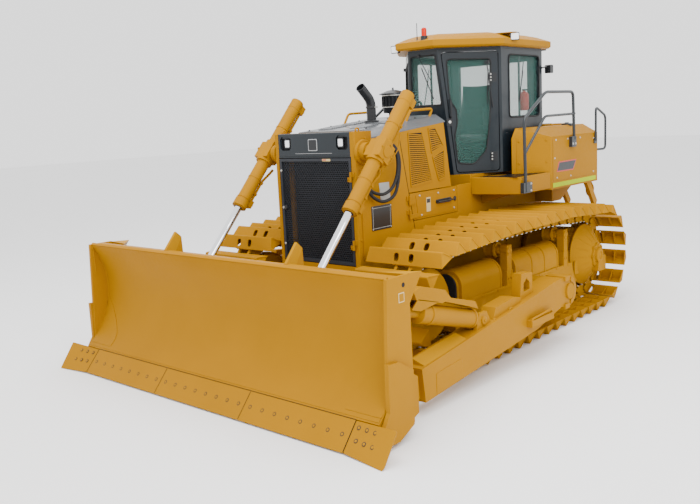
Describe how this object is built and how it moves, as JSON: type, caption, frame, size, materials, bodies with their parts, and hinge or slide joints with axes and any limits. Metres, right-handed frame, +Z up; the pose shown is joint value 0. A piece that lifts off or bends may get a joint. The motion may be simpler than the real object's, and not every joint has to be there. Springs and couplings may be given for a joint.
{
  "type": "crawler bulldozer",
  "caption": "Wide-track crawler bulldozer with a straight blade on push arms, lift cylinders, an enclosed cab and opening doors.",
  "frame": {"origin": "on the ground under the middle of the machine's bounding box", "axes": "+Z up, -Y is the way the machine faces, +X is its left side"},
  "size_m": [4.44, 6.314, 3.56],
  "materials": {
    "yellow_paint": "gloss enamel",
    "cab_paint": "satin dark blue grey",
    "hood_paint": "satin charcoal",
    "rail_paint": "satin dark grey",
    "black_paint": "satin black",
    "engine_metal": "rough",
    "black_plastic": "grained",
    "seat_fabric": "woven",
    "chrome": "polished",
    "glass": "tinted"
  },
  "bodies": {
    "chassis": {"air_intake": "black_paint", "cab_roof": "yellow_paint", "cab_shell": "cab_paint", "deck_left": "yellow_paint", "deck_right": "yellow_paint", "deck_rail_left": "rail_paint", "deck_rail_right": "rail_paint", "engine": "engine_metal", "exhaust_pipe": "black_paint", "hood": "hood_paint", "idler_left": "yellow_paint", "idler_right": "yellow_paint", "instrument_panel": "black_plastic", "main_frame": "yellow_paint", "operator_seat": "seat_fabric", "radiator_guard": "yellow_paint", "rear_tank": "yellow_paint", "rear_window": "glass", "side_tank_left": "yellow_paint", "side_tank_right": "yellow_paint", "side_window_left": "glass", "side_window_right": "glass", "sprocket_left": "yellow_paint", "sprocket_right": "yellow_paint", "track_frame_left": "yellow_paint", "track_frame_right": "yellow_paint", "track_left": "yellow_paint", "track_right": "yellow_paint", "vent_panel_left": "yellow_paint", "vent_panel_right": "yellow_paint", "windshield": "glass"},
    "blade": {"moldboard": "yellow_paint", "cutting_edge": "yellow_paint", "end_bit_left": "yellow_paint", "end_bit_right": "yellow_paint", "push_arm_left": "yellow_paint", "push_arm_right": "yellow_paint", "tilt_cylinder": "yellow_paint", "brace": "yellow_paint"},
    "lift_barrel_left": {"lift_barrel_left": "yellow_paint"},
    "lift_barrel_right": {"lift_barrel_right": "yellow_paint"},
    "lift_rod_left": {"lift_rod_left": "chrome"},
    "lift_rod_right": {"lift_rod_right": "chrome"},
    "cab_door_left": {"cab_door_left": "cab_paint", "door_glass_left": "glass"},
    "cab_door_right": {"cab_door_right": "cab_paint", "door_glass_right": "glass"},
    "grille_door": {"grille_door": "hood_paint"},
    "side_door_left": {"side_door_left": "yellow_paint"},
    "side_door_right": {"side_door_right": "yellow_paint"}
  },
  "joints": [
    {"name": "blade_lift", "type": "hinge", "parent": "chassis", "child": "blade", "pos_m": [0, 0.55, 0.56], "axis": [1, 0, 0], "range_deg": [-18, 8]},
    {"name": "lift_barrel_left_swing", "type": "hinge", "parent": "chassis", "child": "lift_barrel_left", "pos_m": [0.775, -1.248, 2.167], "axis": [1, 0, 0], "range_deg": [-22, 10]},
    {"name": "lift_rod_left_slide", "type": "slide", "parent": "lift_barrel_left", "child": "lift_rod_left", "axis": [0, -0.6713, -0.7412], "range_m": [-0.78, 0.36]},
    {"name": "lift_barrel_right_swing", "type": "hinge", "parent": "chassis", "child": "lift_barrel_right", "pos_m": [-0.775, -1.248, 2.167], "axis": [1, 0, 0], "range_deg": [-22, 10]},
    {"name": "lift_rod_right_slide", "type": "slide", "parent": "lift_barrel_right", "child": "lift_rod_right", "axis": [0, -0.6713, -0.7412], "range_m": [-0.78, 0.36]},
    {"name": "cab_door_left_hinge", "type": "hinge", "parent": "chassis", "child": "cab_door_left", "pos_m": [0.68523, 1.15287, 1.81], "axis": [0, 0, 1], "range_deg": [0, 85]},
    {"name": "cab_door_right_hinge", "type": "hinge", "parent": "chassis", "child": "cab_door_right", "pos_m": [-0.68523, 1.15287, 1.81], "axis": [0, 0, -1], "range_deg": [0, 85]},
    {"name": "grille_door_hinge", "type": "hinge", "parent": "chassis", "child": "grille_door", "pos_m": [0.504, -1.378, 1.04], "axis": [0, 0, 1], "range_deg": [0, 95]},
    {"name": "side_door_left_hinge", "type": "hinge", "parent": "chassis", "child": "side_door_left", "pos_m": [0.578, -0.5242, 1.39], "axis": [0, 0, -1], "range_deg": [0, 100]},
    {"name": "side_door_right_hinge", "type": "hinge", "parent": "chassis", "child": "side_door_right", "pos_m": [-0.578, -0.5242, 1.39], "axis": [0, 0, 1], "range_deg": [0, 100]}
  ],
  "couplings": [
    {"joint": "lift_barrel_left_swing", "follows": "blade_lift", "ratio": 1.15},
    {"joint": "lift_rod_left_slide", "follows": "blade_lift", "m_per_rad": 2.36},
    {"joint": "lift_barrel_right_swing", "follows": "blade_lift", "ratio": 1.15},
    {"joint": "lift_rod_right_slide", "follows": "blade_lift", "m_per_rad": 2.36}
  ]
}
